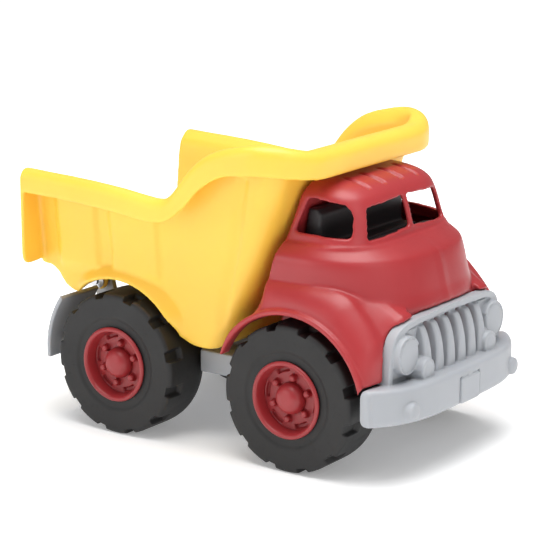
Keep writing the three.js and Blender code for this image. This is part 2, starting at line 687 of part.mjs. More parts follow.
function bumperTabs() {
  const tab = add(box(100, 120, 14, 26, 43.6, 46.6), box(114, 119, 14, 26, 43.6, 56));
  return both(geometry(cut(tab, cylZ(104, 20, 1.5, 30, 60, 10))));
}

function grilleBumper() {
  const plateX = box(129, BUMPER_X, -9.6, 9.6, 35.4, 49.4);
  const back = box(108, 118, -58, 58, 45, 60);
  const seat = keep(back, curvedPlate([[-59, 40], [59, 40], [59, 70], [-59, 70]], 117, 113.6, 4, 60));
  const solidPart = add(bumper(), grille(), seat, ...lamps(), plateX, ...bumperTabs());
  return cut(solidPart, box(90, 113.2, -40, 40, 46.6, 53), ...both(box(90, 113.2, 26.1, 40, 43, 47)));
}

// ---------- chassis ----------
function chassis() {
  const tray = cut(box(-112, 112.6, -34, 34, 33, 51.4), box(-109, 109.6, -31, 31, 20, 48.4));
  const steps = both(geometry(cut(box(-17.4, 17.4, 32, 50, 38.5, 51.4), box(-15, 15, 28, 47.5, 30, 49))));
  const bosses = [-AXLE_X, AXLE_X].flatMap((x) => both(cylY(x, AXLE_Z, 6, 29, 38.8, 16)));
  const pad = box(-14, 3, -30, 30, 50, 56.2);
  const ears = both(chassisEar());
  const guards = both(mudguard());
  let c = add(tray, ...steps, ...bosses, pad, ...ears, ...guards);
  c = cut(c, box(-109, 109.6, -29, 29, 20, 48.4), box(-11.5, 0.5, -27.5, 27.5, 40, 53.6));
  c = cut(c, ...[-AXLE_X, AXLE_X].map((x) => cylY(x, AXLE_Z, AXLE_R + GAP, -80, 80, 16)));
  c = cut(c, ...SCREWS.map(([x, y]) => cylZ(x, y, 1.7, 40, 60, 10)));
  c = cut(c, box(108, 116, -26.6, 26.6, 43, 47), ...both(cylZ(104, 20, 1.5, 46, 60, 10)));
  return c;
}

function chassisEar() {
  const [hx, hz] = HINGE;
  const pts = [[hx + 14, 50], ...arc(hx, hz, 6.4, 20, 160, 8), [hx - 5.6, 50]];
  return cut(prismY(pts, 24.4, 28.4), cylY(hx, hz, AXLE_R + GAP, 20, 40, 16));
}

function mudguard() {
  const r = 52;
  const sheet = [...arc(-AXLE_X, AXLE_Z, r, 143, 186, 9), ...arc(-AXLE_X, AXLE_Z, r + 2.6, 186, 143, 9)];
  const flap = prismY(sheet, 37, 71);
  const arm = box(-114.4, -108, 31, 60, 39.6, 44.6);
  return geometry(add(flap, arm));
}

// ---------- fasteners ----------
function screw(x, y, zHead, length) {
  const head = [[0, -1.8], [2, -1.8], [3, -0.6], [3, 0], [1.2, 0], [1.2, length], [0, length + 0.8]];
  const g = domeY(head, 0, 0, 8);
  g.rotateX(Math.PI / 2);
  g.translate(x, y, zHead);
  return cut(outward(g), box(x - 2.4, x + 2.4, y - 0.35, y + 0.35, zHead - 3, zHead - 1));
}

// ---------- build ----------
piece('chassis_frame', chassis(), 'grey');
piece('grille_bumper', grilleBumper(), 'grey');
piece('cab_shell', cabShell(), 'cab');
piece('cab_liner', cabLiner(), 'liner');
piece('dump_bed', dumpBed(), 'bed');

for (const [end, x] of [['front', AXLE_X], ['rear', -AXLE_X]]) {
  piece(`${end}_axle`, axleRod(x), 'steel');
  for (const [name, side] of [['left', 1], ['right', -1]]) {
    piece(`tyre_${end}_${name}`, tyre(x, side), 'tyre');
    piece(`rim_${end}_${name}`, rim(x, side), 'rim');
    piece(`hub_cap_${end}_${name}`, hubCap(x, side), 'rim');
    piece(`axle_nut_${end}_${name}`, pushNut(x, AXLE_Z, side, WEB_OUT + 0.5, AXLE_R, 5), 'steel');
  }
}

piece('hinge_rod', cylY(HINGE[0], HINGE[1], AXLE_R, -36.5, 36.5, 16), 'steel');
for (const [name, side] of [['left', 1], ['right', -1]]) {
  piece(`hinge_nut_${name}`, pushNut(HINGE[0], HINGE[1], side, 33.6, AXLE_R, 5), 'steel');
  piece(`bumper_screw_${name}`, screw(104, side * 20, 43.3, 7), 'steel');
}
SCREWS.forEach(([x, y], i) => piece(`cab_screw_${i + 1}`, screw(x, y, 48.1, 10), 'steel'));

export default truck;
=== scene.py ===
"""Toy dump truck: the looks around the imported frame. Shapes are worked out in millimetres from the
middle of the wheelbase, then moved into the row frame in metres."""

import math

import bmesh
import bpy
import numpy as np
from mathutils import Matrix, Vector


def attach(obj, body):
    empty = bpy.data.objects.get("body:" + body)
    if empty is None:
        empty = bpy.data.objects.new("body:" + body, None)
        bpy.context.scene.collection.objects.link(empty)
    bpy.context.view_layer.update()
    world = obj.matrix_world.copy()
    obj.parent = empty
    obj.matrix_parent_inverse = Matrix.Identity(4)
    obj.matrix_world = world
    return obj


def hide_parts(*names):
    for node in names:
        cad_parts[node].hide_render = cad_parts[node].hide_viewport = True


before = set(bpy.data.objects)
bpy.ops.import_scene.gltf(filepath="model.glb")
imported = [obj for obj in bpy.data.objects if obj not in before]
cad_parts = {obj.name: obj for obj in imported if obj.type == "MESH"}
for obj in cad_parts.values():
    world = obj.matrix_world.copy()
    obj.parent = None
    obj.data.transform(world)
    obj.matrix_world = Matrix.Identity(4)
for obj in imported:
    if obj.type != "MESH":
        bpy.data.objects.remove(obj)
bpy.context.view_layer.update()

# ---------- driving dimensions, millimetres ----------
CENTRE_X = 5.0
AXLE_X = 60.0
AXLE_Z = 41.4
TYRE_R = 41.4
TYRE_OUT = 75.4
NOTCHES = 12
LUGS = 6
LUG_CIRCLE = 12.0
WEB_OUT = 69.4
RIM_Y = 83.0
WALL = 2.6
ARCH_R = 47.0
BED_ARCH = (-63.0, 43.4)
BED_ARCH_R = 46.0
BED_ARCH_ENDS = (134, 23)
HINGE = (-106.0, 76.0)
GAP = 0.3
TO_ROW = Matrix.Scale(0.001, 4) @ Matrix.Translation((-CENTRE_X, 0, 0))
scene = bpy.context.scene


# ---------- curves ----------
def through(table, xs):
    """Smooth, overshoot-free curve through the rows of table, read at xs."""
    t = np.array(table, float)
    x, xs = t[:, 0], np.asarray(xs, float)
    h = np.diff(x)
    k = np.clip(np.searchsorted(x, xs, side="right") - 1, 0, len(x) - 2)
    s = np.clip((xs - x[k]) / h[k], 0, 1)
    columns = []
    for y in t[:, 1:].T:
        d = np.diff(y) / h
        m = np.concatenate(([d[0]], np.zeros(len(x) - 2), [d[-1]]))
        for i in range(1, len(x) - 1):
            if d[i - 1] * d[i] > 0:
                w1, w2 = 2 * h[i] + h[i - 1], h[i] + 2 * h[i - 1]
                m[i] = (w1 + w2) / (w1 / d[i - 1] + w2 / d[i])
        columns.append((2 * s**3 - 3 * s**2 + 1) * y[k] + (s**3 - 2 * s**2 + s) * h[k] * m[k]
                       + (3 * s**2 - 2 * s**3) * y[k + 1] + (s**3 - s**2) * h[k] * m[k + 1])
    return np.array(columns).T


def value(table, x):
    return float(through(table, [x])[0, 0])


def dense(points, step):
    """Smooth open curve through 2-D points, sampled about every step."""
    p = np.array(points, float)
    s = np.concatenate(([0], np.cumsum(np.hypot(*np.diff(p, axis=0).T))))
    n = max(2, int(s[-1] / step) + 1)
    return through(np.column_stack((s, p)), np.linspace(0, s[-1], n))


def arc(cx, cy, r, a0, a1, n):
    a = np.radians(np.linspace(a0, a1, n + 1))
    return np.column_stack((cx + r * np.cos(a), cy + r * np.sin(a)))


def rounded(polygon, radius, n=6):
    """The polygon with each corner replaced by a curve that starts radius before it."""
    p = np.array(polygon, float)
    out = []
    for i in range(len(p)):
        a, c, b = p[i - 1], p[i], p[(i + 1) % len(p)]
        r = min(radius, np.hypot(*(a - c)) * 0.49, np.hypot(*(b - c)) * 0.49)
        start = c + (a - c) / np.hypot(*(a - c)) * r
        end = c + (b - c) / np.hypot(*(b - c)) * r
        for t in np.linspace(0, 1, n + 1):
            out.append((1 - t) ** 2 * start + 2 * t * (1 - t) * c + t * t * end)
    return np.array(out)


def smoothstep(a, b, x):
    t = np.clip((np.asarray(x, float) - a) / (b - a), 0, 1)
    return t * t * (3 - 2 * t)


# ---------- solids ----------
def mesh_object(verts, faces, name="solid"):
    me = bpy.data.meshes.new(name)
    me.from_pydata([tuple(map(float, v)) for v in verts], [], [tuple(map(int, f)) for f in faces])
    bm = bmesh.new()
    bm.from_mesh(me)
    bmesh.ops.recalc_face_normals(bm, faces=bm.faces)
    bm.to_mesh(me)
    bm.free()
    ob = bpy.data.objects.new(name, me)
    scene.collection.objects.link(ob)
    return ob


def loft(rings, closed=False):
    """Solid through matching rings of points; closed joins the last ring to the first."""
    n, rows = len(rings[0]), len(rings)
    verts = np.concatenate(rings)
    faces = []
    for k in range(rows if closed else rows - 1):
        a, b = k * n, ((k + 1) % rows) * n
        faces += [(a + i, a + (i + 1) % n, b + (i + 1) % n, b + i) for i in range(n)]
    if not closed:
        faces += [tuple(range(n)), tuple(range((rows - 1) * n, rows * n))]
    return mesh_object(verts, faces)


def prism(axis, outline, lo, hi):
    """Straight solid along an axis; the outline holds the other two coordinates in order."""
    o = np.array(outline, float)
    order = {"x": (None, 0, 1), "y": (0, None, 1), "z": (0, 1, None)}[axis]
    rings = []
    for level in (lo, hi):
        rings.append(np.column_stack([np.full(len(o), level) if c is None else o[:, c] for c in order]))
    return loft(rings)


def block(x0, x1, y0, y1, z0, z1):
    return prism("z", [(x0, y0), (x1, y0), (x1, y1), (x0, y1)], z0, z1)


def disc(axis, a, b, r, lo, hi, n=40):
    return prism(axis, arc(a, b, r, 0, 360, n)[:-1], lo, hi)


def turned(profile, x, z, seg, side=1, angles=None, closed=True, shape=None):
    """Turned solid about the Y direction through (x, z); profile rows are (r, y)."""
    angles = np.radians(np.linspace(0, 360, seg, endpoint=False) if angles is None else angles)
    rings = []
    for a in angles:
        r, y = np.array(profile, float).T
        if shape:
            r, y = shape(math.degrees(a), r, y)
        rings.append(np.column_stack((x + r * math.cos(a), side * y, z + r * math.sin(a))))
    if closed:
        return loft(rings, closed=True)
    n, rows = len(profile), len(rings)
    verts = np.concatenate(rings)
    faces = [(k * n + i, k * n + i + 1, ((k + 1) % rows) * n + i + 1, ((k + 1) % rows) * n + i)
             for k in range(rows) for i in range(n - 1)]
    ob = mesh_object(verts, faces)
    bm = bmesh.new()
    bm.from_mesh(ob.data)
    bmesh.ops.remove_doubles(bm, verts=bm.verts, dist=1e-4)
    bmesh.ops.recalc_face_normals(bm, faces=bm.faces)
    bm.to_mesh(ob.data)
    bm.free()
    return ob


def bake(ob):
    dg = bpy.context.evaluated_depsgraph_get()
    me = bpy.data.meshes.new_from_object(ob.evaluated_get(dg))
    ob.modifiers.clear()
    old, ob.data = ob.data, me
    bpy.data.meshes.remove(old)
    return ob


def combine(base, operation, others):
    for other in others:
        m = base.modifiers.new("combine", "BOOLEAN")
        m.operation, m.solver, m.object = operation, "MANIFOLD", other
    bake(base)
    for other in others:
        bpy.data.objects.remove(other)
    return base


def add(base, *others):
    return combine(base, "UNION", others)


def cut(base, *others):
    return combine(base, "DIFFERENCE", others)


def keep(base, *others):
    return combine(base, "INTERSECT", others)


def mirrored(ob):
    twin = bpy.data.objects.new(ob.name, ob.data.copy())
    scene.collection.objects.link(twin)
    twin.data.transform(Matrix.Scale(-1, 4, (0, 1, 0)))
    twin.data.flip_normals()
    return twin


def both(ob):
    return [ob, mirrored(ob)]


def relax(me, steps, weight=None):
    """Even out the surface, which rounds every edge and inner corner as a mould does."""
    n = len(me.vertices)
    co = np.empty(n * 3)
    me.vertices.foreach_get("co", co)
    co = co.reshape(n, 3)
    ends = np.empty(len(me.edges) * 2, np.int32)
    me.edges.foreach_get("vertices", ends)
    a, b = ends.reshape(-1, 2).T
    count = np.bincount(ends, minlength=n)[:, None].clip(1)
    share = 0.5 if weight is None else 0.5 * weight(co)[:, None]
    for _ in range(steps):
        total = np.column_stack([np.bincount(a, co[b, k], n) + np.bincount(b, co[a, k], n) for k in range(3)])
        co += share * (total / count - co)
    me.vertices.foreach_set("co", co.ravel())
    me.update()


def moulded(ob, voxel, steps, ratio, weight=None):
    """Remesh evenly, round every edge, then drop the points that flat areas don't need."""
    m = ob.modifiers.new("even", "REMESH")
    m.mode, m.voxel_size, m.adaptivity = "VOXEL", voxel, 0
    bake(ob)
    relax(ob.data, steps, weight)
    m = ob.modifiers.new("thin", "DECIMATE")
    m.ratio = ratio
    bake(ob)
    return ob


def finish_piece(ob, name, body, slot, material, *nodes):
    ob.data.transform(TO_ROW)
    ob.data.update()
    ob.name = ob.data.name = name
    ob.data.polygons.foreach_set("use_smooth", [True] * len(ob.data.polygons))
    ob.data.materials.clear()
    ob.data.materials.append(material)
    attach(ob, body)
    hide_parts(*nodes)
    return ob


# ---------- materials ----------
def moulded_plastic(name, colour, rough, soft=0.0, mottle=0.06, grain=0.35, edge_paling=0.25):
    """Satin moulded plastic: flow mottling, fine skin texture, small scuffs, colour paler in patches on
    convex edges.
    """
    mat = bpy.data.materials.new(name)
    mat.use_nodes = True
    nt = mat.node_tree
    bsdf = nt.nodes["Principled BSDF"]
    coord = nt.nodes.new("ShaderNodeTexCoord")

    def noise(scale, detail, rough_=0.55):
        n = nt.nodes.new("ShaderNodeTexNoise")
        n.inputs["Scale"].default_value = scale
        n.inputs["Detail"].default_value = detail
        n.inputs["Roughness"].default_value = rough_
        nt.links.new(coord.outputs["Object"], n.inputs["Vector"])
        return n.outputs["Fac"]

    def span(src, a, b, lo, hi):
        m = nt.nodes.new("ShaderNodeMapRange")
        for key, v in (("From Min", a), ("From Max", b), ("To Min", lo), ("To Max", hi)):
            m.inputs[key].default_value = v
        nt.links.new(src, m.inputs["Value"])
        return m.outputs["Result"]

    def maths(op, a, b):
        m = nt.nodes.new("ShaderNodeMath")
        m.operation = op
        for i, v in enumerate((a, b)):
            if isinstance(v, (int, float)):
                m.inputs[i].default_value = v
            else:
                nt.links.new(v, m.inputs[i])
        return m.outputs["Value"]

    def blend(fac, a, b):
        m = nt.nodes.new("ShaderNodeMix")
        m.data_type = "RGBA"
        nt.links.new(fac, m.inputs["Factor"])
        for key, v in (("A", a), ("B", b)):
            socket = [s for s in m.inputs if s.name == key and s.type == "RGBA"][0]
            if isinstance(v, tuple):
                socket.default_value = (*v, 1)
            else:
                nt.links.new(v, socket)
        return [s for s in m.outputs if s.type == "RGBA"][0]

    dark = tuple(c * (1 - mottle) for c in colour)
    light = tuple(min(1, c * (1 + mottle) + 0.004) for c in colour)
    # colour made paler in patches on convex edges, picked out by pointiness
    pale_edge_colour = tuple(min(1, c * 1.15 + 0.03) for c in colour)
    flow = span(noise(14, 3), 0.35, 0.65, 0, 1)
    base = blend(flow, dark, light)
    geo = nt.nodes.new("ShaderNodeNewGeometry")
    edge = span(geo.outputs["Pointiness"], 0.515, 0.56, 0, 1)
    patchy = span(noise(90, 4), 0.45, 0.7, 0, 1)
    pale_edge_mask = maths("MULTIPLY", maths("MULTIPLY", edge, patchy), edge_paling)
    base = blend(pale_edge_mask, base, pale_edge_colour)
    nt.links.new(base, bsdf.inputs["Base Color"])
    fine = noise(2600, 2)
    scuffs = span(noise(320, 5, 0.7), 0.56, 0.72, 0, 1)
    cloud = span(noise(30, 3), 0.3, 0.7, rough - 0.05, rough + 0.05)
    nt.links.new(maths("ADD", cloud, maths("MULTIPLY", scuffs, 0.10)), bsdf.inputs["Roughness"])
    ripple = noise(60, 2)
    height = maths("ADD", maths("MULTIPLY", fine, 0.000012 * grain),
                   maths("MULTIPLY", ripple, 0.00022 * grain))
    height = maths("SUBTRACT", height, maths("MULTIPLY", scuffs, 0.000008))
    bump = nt.nodes.new("ShaderNodeBump")
    bump.inputs["Strength"].default_value = 0.8
    bump.inputs["Distance"].default_value = 1.0
    nt.links.new(height, bump.inputs["Height"])
    nt.links.new(bump.outputs["Normal"], bsdf.inputs["Normal"])
    bsdf.inputs["IOR"].default_value = 1.5
    if soft:
        bsdf.inputs["Subsurface Weight"].default_value = soft
        bsdf.inputs["Subsurface Radius"].default_value = (1.0, 0.5, 0.25)
        bsdf.inputs["Subsurface Scale"].default_value = 0.002
    return mat


def plated_steel(name):
    """Zinc plated steel: the mottled moulded finish in grey, made metallic."""
    mat = moulded_plastic(name, (0.52, 0.53, 0.55), 0.32, mottle=0.12, grain=0.5)
    mat.node_tree.nodes["Principled BSDF"].inputs["Metallic"].default_value = 1.0
    return mat


def linear(r, g, b):
    return tuple(((c / 255 + 0.055) / 1.055) ** 2.4 if c > 10 else c / 255 / 12.92 for c in (r, g, b))


YELLOW = moulded_plastic("yellow_moulding", linear(252, 203, 74), 0.42, soft=0.2, mottle=0.03)
RED = moulded_plastic("red_moulding", linear(166, 46, 50), 0.38, soft=0.1, mottle=0.06)
RIM_RED = moulded_plastic("dark_red_moulding", linear(148, 38, 42), 0.38, soft=0.1, mottle=0.08)
GREY = moulded_plastic("grey_moulding", linear(165, 168, 173), 0.45, soft=0.05, mottle=0.03)
BLACK = moulded_plastic("black_moulding", linear(40, 38, 40), 0.5, mottle=0.08)
TYRE = moulded_plastic("tyre_moulding", linear(21, 20, 20), 0.6, mottle=0.10, grain=0.6)
STEEL = plated_steel("plated_steel")

# ---------- dump bed ----------
RIM_TOP = [
    (-122, 150), (-111, 149.5), (-81, 148.3), (-52, 146.3), (-31, 143.9), (-25, 143.4), (-20, 143.8),
    (-15, 146.8), (-9.6, 152.6), (-2.6, 161.4), (4.3, 167.8), (11, 172.2), (17.8, 175), (26, 177.2),
    (34.4, 179), (45, 180), (54, 179.4), (62, 177.6), (68, 175.2),
]
SKIRT_LOW = [
    (-122, 136.6), (-81, 135), (-52, 133), (-28.5, 130.6), (-20, 131), (-14.4, 133.2), (-4, 141.2),
    (6.4, 152), (16.5, 158.8), (26.6, 162.4), (46.3, 163.6), (58, 162.4), (68, 160.4),
]
FRONT = [(50, 1), (60, 8), (76, 18.6), (95, 27.8), (127, 40), (150, 47.6), (172, 54), (200, 62)]
BED_WIDTH = [(50, 63.5), (92, 65), (140, 69.4), (175, 71), (200, 71)]
BED_TAIL = [(-115, 90.6), (-110.5, 88), (-107.6, 83.6), (-103, 79), (-98.6, 77)]
CORNER_R = 12.0
RIM_CORNER = 36.0


def front_x(z):
    return value(FRONT, z)


def bed_slab(d):
    z = np.linspace(50, 200, 31)
    y = through(BED_WIDTH, z)[:, 0] + d
    right = np.column_stack((y, z))
    return prism("x", np.concatenate((right, right[::-1] * (-1, 1))), -150, 90)


def bed_outline():
    x = np.arange(-122, 50, 1.5)
    top = np.column_stack((x, through(RIM_TOP, x)[:, 0] - 3))[::-1]
    arch = arc(*BED_ARCH, BED_ARCH_R, *BED_ARCH_ENDS, 60)
    low = dense([(-19.2, 60.2), (-12, 57.5), (-2.6, 56.8), (3, 57.6), (6, 60)], 2)
    z = np.arange(62, 177, 3)
    front = np.column_stack((through(FRONT, z)[:, 0], z))
    return np.concatenate(([(-122, 91)], dense(BED_TAIL, 1.5), arch, low, front, top))


def bed_inside():
    d = WALL + 0.5
    z = np.arange(64, 202, 4)
    front = np.column_stack((through(FRONT, z)[:, 0] - d, z))
    slope = arc(*BED_ARCH, BED_ARCH_R + 3, 80, 24, 24)
    return np.concatenate(([(-130, 93), (-58, 93)], slope, front, [(-130, 200)]))


def corner_cutters(inset):
    r = CORNER_R - inset
    rings = []
    for z in np.arange(48, 204, 6):
        y = value(BED_WIDTH, z) - inset
        x = front_x(z) - inset
        curve = arc(x - r, -y + r, r, 360, 270, 14)
        flat = np.concatenate(([(x + 30, -y - 4), (x + 30, -y + r)], curve, [(x - r, -y - 4)]))
        rings.append(np.column_stack((flat, np.full(len(flat), z))))
    return both(loft(rings))


# rim section: distance in from the outer plan line, how far below the crown line or above the skirt line
RIM_SECTION = [
    (0.0, "low", 0.0), (0.0, "low", 4.0), (0.0, "drop", 6.5), (0.25, "drop", 4.6), (1.1, "drop", 2.6),
    (2.5, "drop", 1.1), (4.4, "drop", 0.25), (6.4, "drop", 0.0), (9, "drop", 0.3), (12, "drop", 0.8),
    (16, "drop", 1.2), (17, "drop", 6), (15, "drop", 10), (12, "drop", 7.4), (8, "drop", 4.6),
    (5, "drop", 4.0), (3.4, "drop", 4.8), (2.7, "drop", 7), (2.6, "low", 4.0), (2.6, "low", 0.3),
    (1.8, "low", -0.5), (0.8, "low", -0.5),
]


def rim_stations():
    """Outer plan line of the rim from the rear right round the front to the rear left."""
    front, r = 68.0, RIM_CORNER
    line = [(x, -RIM_Y, 0, 1) for x in np.arange(-122, front - r, 1.6)]
    line += [(front - r + r * math.cos(a), -RIM_Y + r + r * math.sin(a), -math.cos(a), -math.sin(a))
             for a in np.radians(np.linspace(270, 360, 26))]
    half = np.array(line)
    across = np.arange(-RIM_Y + r + 2, 0, 3)
    half = np.concatenate((half, [(front, y, -1, 0) for y in across]))
    return np.concatenate((half, (half * (1, -1, 1, -1))[::-1]))


def swept_rim():
    rings = []
    for x, y, nx, ny in rim_stations():
        top, low = value(RIM_TOP, x), value(SKIRT_LOW, x)
        rings.append([(x + nx * d, y + ny * d, top - v if kind == "drop" else low + v)
                      for d, kind, v in RIM_SECTION])
    return loft([np.array(r) for r in rings])


# mouth of the bed: how far below the crown line, half width there, front edge, corner radius
MOUTH = [
    (-45, 76.4, 61.0, 29.4), (-2, 76.4, 61.0, 29.4), (0.2, 76.2, 60.8, 29.2), (0.7, 74.6, 59.4, 27.6),
    (2.2, 72.6, 57.4, 25.4), (4.6, 70.6, 55.2, 22), (8, 68.6, 51.8, 15), (13, 67.4, 49.4, 11.4),
    (20, 66.6, 47.2, 10.4), (27, 66.2, 45, 9.8),
]
# how far the mouth may cut into the side walls, for each depth
MOUTH_SPARE = [(-45, 12), (4, 12), (4.6, 2.8), (8, 1.2), (13, 0.3), (20, -0.2), (27, -0.3)]


def mouth():
    rings = []
    for drop, y, front, r in MOUTH:
        plan = [(x, -y) for x in np.linspace(-140, front - r - 1, 110)]
        plan += list(arc(front - r, -y + r, r, 270, 360, 12))
        plan += [(front, v) for v in np.linspace(-y + r + 2, 0, 12)]
        plan = np.array(plan)
        plan = np.concatenate((plan, (plan * (1, -1))[::-1][1:]))
        z = through(RIM_TOP, plan[:, 0])[:, 0] - drop
        limit = through(BED_WIDTH, z)[:, 0] - WALL + value(MOUTH_SPARE, drop)
        rings.append(np.column_stack((plan[:, 0], np.clip(plan[:, 1], -limit, limit), z)))
    return loft(rings)


def flare():
    """The lower edge of the side swells out round the wheel opening and fades at both ends."""
    rear, front = BED_ARCH_ENDS
    angle = np.linspace(rear, front, 90)
    fade = 0.3 + 0.7 * smoothstep(rear, rear - 22, angle) * smoothstep(front, front + 18, angle)
    a = np.radians(angle)
    rings = []
    for y, reach in ((62.6, 10), (64.4, 9), (66.4, 6.4), (68.4, 4), (70, 2.2), (70.8, 1)):
        r = BED_ARCH_R + reach
        across = 62.6 + (y - 62.6) * fade
        outer, inner = (np.column_stack((BED_ARCH[0] + q * np.cos(a), across, BED_ARCH[1] + q * np.sin(a)))
                        for q in (r, BED_ARCH_R))
        rings.append(np.concatenate((outer, inner[::-1])))
    return both(loft(rings))


def flutes():
    """Two shallow raised panels on each side wall."""
    ribs = []
    for a, b in ((-106, -77), (-66.6, -33)):
        rings = []
        for z in np.linspace(89, 141, 27):
            y = value(BED_WIDTH, z)
            rise = 2.1 * float(smoothstep(89, 96, z))
            flat = [(a - 1.6, y - 1), (a - 1, y), (a + 1, y + rise),
                    (b - 1, y + rise), (b + 1, y), (b + 1.6, y - 1)]
            rings.append(np.array([(x, v, z) for x, v in flat]))
        ribs += both(loft(rings))
    return ribs


CORNER_LINE = [(60, 5.5), (66, 7), (80, 9.5), (100, 14), (118, 19.8), (145, 25), (170, 30)]


def corner_line():
    """Soft valley down each side that sets off the front corner of the bed."""
    rings = []
    for z in np.linspace(62, 160, 40):
        x, y = value(CORNER_LINE, z), value(BED_WIDTH, z)
        deep = 1.5 * float(smoothstep(62, 76, z))
        rings.append(np.array([(x - 5.5, y + 0.2, z), (x + 0.5, y - deep, z), (x + 2, y - deep, z),
                               (x + 5, y + 0.2, z), (x, y + 4, z)]))
    return both(loft(rings))


def dump_bed():
    rear = prism("x", [(64, 96), (66, 93.8), (77, 93), (80.6, 93.8), (82.2, 96), (82.8, 99), (RIM_Y, 142),
                       (82, 146), (80, 147.4), (64, 147.4)], -122, -119.4)
    lug_plan = np.concatenate((arc(*HINGE, 6, 180, 360, 20), [(HINGE[0] + 10, 91), (HINGE[0] - 6, 91)]))
    lug = cut(prism("y", lug_plan, 29.2, 32.8), disc("y", *HINGE, 2.3, 20, 40))
    bed = cut(keep(prism("y", bed_outline(), -80, 80), bed_slab(0)), *corner_cutters(0))
    hollow = cut(keep(prism("y", bed_inside(), -80, 80), bed_slab(-WALL)), *corner_cutters(WALL + 0.5))
    under = np.concatenate(([(-140, 70), (-140, 90.4), (-60, 90.4)],
                            arc(*BED_ARCH, BED_ARCH_R + 0.4, 82, 40, 20), [(-61, 50)]))
    bed = cut(add(bed, *flare(), *flutes()), *corner_line())
    bed = add(bed, swept_rim(), *both(rear))
    bed = cut(bed, hollow, mouth(), keep(prism("y", under, -80, 80), bed_slab(-WALL)))
    bed = add(bed, *both(lug))
    moulded(bed, 0.9, 7, 0.3)
    finish_piece(bed, "bed_moulding", "bed", "yellow_plastic", YELLOW, "dump_bed")


# ---------- cab ----------
BODY = [
    (46, 113, 64, 2.7), (51.7, 113.6, 64, 2.7), (80, 116.4, 64, 2.7), (89, 116.6, 64, 2.7),
    (98, 114.2, 64, 2.65), (109, 111.4, 64, 2.6), (114, 109.8, 63.8, 2.6), (117, 108.4, 63.2, 2.6),
    (119, 106, 62, 2.6),
    (121, 102, 60.2, 2.7), (123, 97.6, 58, 3), (124.6, 94, 56, 3.6), (125, 90, 52, 3.6),
]
HOUSE = [
    (116, 94.4, 56.6, 3.9), (121, 93.8, 56, 3.9), (124, 93.4, 55.2, 3.9), (129, 92.4, 53, 3.9),
    (145.4, 87.4, 48.4, 4.1), (149, 85.4, 47.2, 4), (151.5, 82.4, 45.6, 3.9), (153.6, 78.6, 43, 3.7),
    (155.4, 73, 39, 3.4), (156.6, 67, 33.6, 3.2), (157.3, 60, 26, 3),
]
BODY_CENTRE = 45.0


def section(z, front, w, n, inset=0.0, ridge=0.0):
    t = np.radians(np.linspace(-90, 90, 81))
    c = np.abs(np.cos(t)) ** (2 / n)
    s = np.sign(t) * np.abs(np.sin(t)) ** (2 / n)
    x = BODY_CENTRE + (front - inset - BODY_CENTRE) * c
    y = (w - inset) * s
    x = x + ridge * np.exp(-(np.abs(y) / 3.0) ** 1.5)
    ring = np.column_stack((x, y, np.full(len(t), z)))
    return np.concatenate((ring, [(20, w - inset, z), (20, inset - w, z)]))


def stack(table, levels, inset=0.0, ridge=0.0):
    rows = through(table, levels)
    return loft([section(z, f, w, n, inset, ridge) for z, (f, w, n) in zip(levels, rows)])


CAB_REAR = [(52.6, 160), (50.4, 150), (46, 130), (41, 108), (35.6, 88), (30, 75), (30, 44)]


def behind_cab(d):
    pts = dense([(x + d, z) for x, z in CAB_REAR], 3)
    return prism("y", np.concatenate((pts, [(-10, 44), (-10, 170), (52.6 + d, 170)])), -90, 90)


FENDER = [
    (14.5, 60), (20, 72), (27, 82), (34.6, 88), (37.4, 97), (39.4, 106.4), (58.5, 105.9), (68, 105.2),
    (75.5, 104), (84, 102.2), (90.9, 99.2), (97, 93.6), (102.6, 87.6), (107.1, 82), (110.1, 77), (112, 68),
    (112.4, 57),
]
APRON = [
    (14.5, 60), (20, 72), (27, 82), (34.6, 88), (37.4, 97), (39.4, 106.4), (58.5, 106), (68, 105.6),
    (76, 105), (85, 103.6), (93, 101.4), (100, 98.2), (106, 94.6), (111.6, 91.4), (115.6, 88.6), (116.4, 74),
    (116.4, 57),
]
# share of the fender's height above its lip, for each distance off the centreline
FENDER_FALL = [
    (36, 1), (60, 1), (62, 0.955), (64, 0.885), (66, 0.79), (68, 0.665), (70, 0.5), (72, 0.27), (73.4, 0.03),
    (75, 0.0), (76, 0.0),
]


def fine(points, extra=5):
    """Points of a profile with extra points put between, kept in step for every profile."""
    p = np.array(points, float)
    i = np.arange(len(p))
    at = np.linspace(0, len(p) - 1, (len(p) - 1) * extra + 1)
    return through(np.column_stack((i, p)), at)


def fender():
    outer, inner = fine(FENDER), fine(APRON)
    angle = np.arctan2(outer[:, 1] - AXLE_Z, outer[:, 0] - AXLE_X)
    rings = []
    for y in [36, 40, 44, 48, 52, 56, *np.arange(59, 75.1, 1.0)]:
        t = float(smoothstep(43, 59, y))
        p = inner * (1 - t) + outer * t
        r = np.hypot(p[:, 0] - AXLE_X, p[:, 1] - AXLE_Z)
        a = np.arctan2(p[:, 1] - AXLE_Z, p[:, 0] - AXLE_X)
        lip = ARCH_R + 2.0
        r = np.minimum(r, lip + (r - lip) * value(FENDER_FALL, y))
        top = np.column_stack((AXLE_X + r * np.cos(a), np.full(len(a), y), AXLE_Z + r * np.sin(a)))
        q = ARCH_R - 3
        low = np.column_stack((AXLE_X + q * np.cos(angle), np.full(len(a), y), AXLE_Z + q * np.sin(angle)))
        rings.append(np.concatenate((top, low[::-1])))
    return loft(rings)


def arch_lip():
    """Raised lip round the wheel opening, carried on down behind it."""
    rings = []
    around = np.radians(np.linspace(0, 360, 16, endpoint=False))
    for angle in np.linspace(4, 157.4, 90):
        wide = 1.75 - 0.75 * float(smoothstep(138, 157, angle))
        radial = np.array((math.cos(math.radians(angle)), math.sin(math.radians(angle))))
        r = ARCH_R - 0.2 + wide + wide * np.cos(around)
        x, z = AXLE_X + r * radial[0], AXLE_Z + r * radial[1]
        rings.append(np.column_stack((x, 74.4 + 1.5 * np.sin(around), z)))
    return loft(rings)


